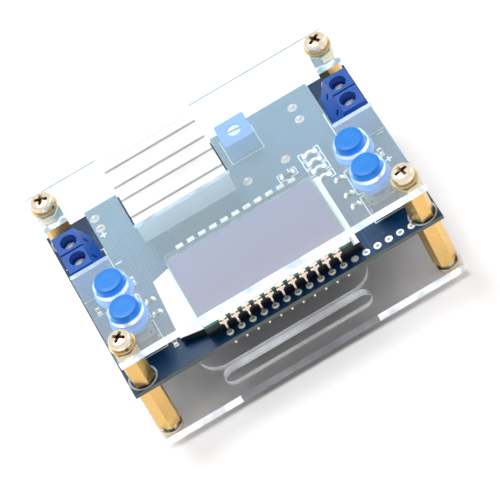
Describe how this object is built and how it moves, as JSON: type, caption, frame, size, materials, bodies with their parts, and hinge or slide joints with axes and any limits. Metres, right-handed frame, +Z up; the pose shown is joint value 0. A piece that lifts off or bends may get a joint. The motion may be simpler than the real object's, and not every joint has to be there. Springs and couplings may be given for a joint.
{
  "type": "buck converter module",
  "caption": "Step-down DC converter module: blue board with display, tall buttons, screw terminals and a heat sink between two clear plates on brass standoffs.",
  "frame": {"origin": "on the surface that the module stands on, under the middle of its outline", "axes": "+Z up, +X from the input terminal towards the output terminal, +Y from the display's front edge towards the heat sink"},
  "size_m": [0.069, 0.0506, 0.0319],
  "materials": {
    "clear_acrylic": "clear cast acrylic sheet, polished faces, laser-cut edges",
    "board_blue": "blue solder mask over glass-fibre laminate",
    "brass": "turned brass, bright",
    "screw_nickel": "nickel-plated steel",
    "terminal_blue": "moulded polyamide, slight sheen",
    "clamp_metal": "tinned steel",
    "cap_blue": "moulded cap, smooth",
    "black_plastic": "moulded black plastic",
    "trimmer_blue": "moulded blue plastic",
    "rotor_white": "moulded white plastic",
    "tinned_lead": "tin-plated copper alloy and solder",
    "spreader_white": "milky light-spreading plastic",
    "display_glass": "display glass, polished",
    "polarizer": "lavender grey polarizing film",
    "sink_aluminium": "extruded aluminium, plain",
    "package_black": "moulded epoxy",
    "thermal_grey": "soft thermal layer",
    "core_yellow": "coated iron-powder ring",
    "copper_wire": "enamelled copper wire",
    "can_sleeve": "sleeved aluminium can",
    "light_white": "clear-topped white light",
    "ceramic": "fired ceramic with tinned ends"
  },
  "bodies": {
    "module": {"top_plate": "clear_acrylic", "bottom_plate": "clear_acrylic", "circuit_board": "board_blue", "upper_standoffs": "brass", "lower_standoffs": "brass", "flat_washers": "brass", "spring_washers": "screw_nickel", "top_screws": "screw_nickel", "bottom_screws": "screw_nickel", "input_terminal": "terminal_blue", "output_terminal": "terminal_blue", "terminal_contacts": "tinned_lead", "switch_bases": "black_plastic", "switch_covers": "clamp_metal", "switch_leads": "tinned_lead", "trimmer_body": "trimmer_blue", "trimmer_pins": "tinned_lead", "lcd_carrier": "black_plastic", "lcd_spreader": "spreader_white", "lcd_rear_glass": "display_glass", "lcd_front_glass": "display_glass", "lcd_polarizer": "polarizer", "lcd_front_clips": "tinned_lead", "lcd_back_clips": "tinned_lead", "heat_sink": "sink_aluminium", "regulator_package": "package_black", "rectifier_package": "package_black", "package_metal": "tinned_lead", "thermal_pads": "thermal_grey", "coil_core": "core_yellow", "coil_winding": "copper_wire", "capacitors": "can_sleeve", "capacitor_leads": "tinned_lead", "solder_domes": "tinned_lead", "control_chip": "package_black", "chip_legs": "tinned_lead", "status_leds": "light_white", "power_diode": "package_black", "diode_tabs": "tinned_lead", "chip_parts": "ceramic"},
    "button_1": {"cap_1": "cap_blue", "plunger_1": "black_plastic"},
    "button_2": {"cap_2": "cap_blue", "plunger_2": "black_plastic"},
    "button_3": {"cap_3": "cap_blue", "plunger_3": "black_plastic"},
    "button_4": {"cap_4": "cap_blue", "plunger_4": "black_plastic"},
    "trimmer_turn": {"trimmer_rotor": "rotor_white"},
    "input_front_clamp_screw": {"input_front_screw": "clamp_metal"},
    "input_front_wire_cage": {"input_front_cage": "clamp_metal"},
    "input_back_clamp_screw": {"input_back_screw": "clamp_metal"},
    "input_back_wire_cage": {"input_back_cage": "clamp_metal"},
    "output_front_clamp_screw": {"output_front_screw": "clamp_metal"},
    "output_front_wire_cage": {"output_front_cage": "clamp_metal"},
    "output_back_clamp_screw": {"output_back_screw": "clamp_metal"},
    "output_back_wire_cage": {"output_back_cage": "clamp_metal"}
  },
  "joints": [
    {"name": "button_1_press", "type": "slide", "parent": "module", "child": "button_1", "axis": [0, 0, -1], "range_m": [0, 0.00025], "stiffness_N_per_m": 2000, "springref_m": -0.0005},
    {"name": "button_2_press", "type": "slide", "parent": "module", "child": "button_2", "axis": [0, 0, -1], "range_m": [0, 0.00025], "stiffness_N_per_m": 2000, "springref_m": -0.0005},
    {"name": "button_3_press", "type": "slide", "parent": "module", "child": "button_3", "axis": [0, 0, -1], "range_m": [0, 0.00025], "stiffness_N_per_m": 2000, "springref_m": -0.0005},
    {"name": "button_4_press", "type": "slide", "parent": "module", "child": "button_4", "axis": [0, 0, -1], "range_m": [0, 0.00025], "stiffness_N_per_m": 2000, "springref_m": -0.0005},
    {"name": "trimmer_rotor_turn", "type": "hinge", "parent": "module", "child": "trimmer_turn", "pos_m": [0.0087, 0.0184, 0.0221], "axis": [0, 0, -1], "range_deg": [-135, 135]},
    {"name": "input_front_screw_turn", "type": "hinge", "parent": "module", "child": "input_front_clamp_screw", "pos_m": [-0.0308, 0.00576, 0.0251], "axis": [0, 0, -1], "range_deg": [0, 1080]},
    {"name": "input_front_cage_rise", "type": "slide", "parent": "module", "child": "input_front_wire_cage", "axis": [0, 0, 1], "range_m": [0, 0.0015]},
    {"name": "input_back_screw_turn", "type": "hinge", "parent": "module", "child": "input_back_clamp_screw", "pos_m": [-0.0308, 0.01084, 0.0251], "axis": [0, 0, -1], "range_deg": [0, 1080]},
    {"name": "input_back_cage_rise", "type": "slide", "parent": "module", "child": "input_back_wire_cage", "axis": [0, 0, 1], "range_m": [0, 0.0015]},
    {"name": "output_front_screw_turn", "type": "hinge", "parent": "module", "child": "output_front_clamp_screw", "pos_m": [0.0308, 0.00596, 0.0251], "axis": [0, 0, -1], "range_deg": [0, 1080]},
    {"name": "output_front_cage_rise", "type": "slide", "parent": "module", "child": "output_front_wire_cage", "axis": [0, 0, 1], "range_m": [0, 0.0015]},
    {"name": "output_back_screw_turn", "type": "hinge", "parent": "module", "child": "output_back_clamp_screw", "pos_m": [0.0308, 0.01104, 0.0251], "axis": [0, 0, -1], "range_deg": [0, 1080]},
    {"name": "output_back_cage_rise", "type": "slide", "parent": "module", "child": "output_back_wire_cage", "axis": [0, 0, 1], "range_m": [0, 0.0015]}
  ],
  "couplings": [
    {"joint": "input_front_screw_turn", "follows": "input_front_cage_rise", "rad_per_m": 12566},
    {"joint": "input_back_screw_turn", "follows": "input_back_cage_rise", "rad_per_m": 12566},
    {"joint": "output_front_screw_turn", "follows": "output_front_cage_rise", "rad_per_m": 12566},
    {"joint": "output_back_screw_turn", "follows": "output_back_cage_rise", "rad_per_m": 12566}
  ]
}
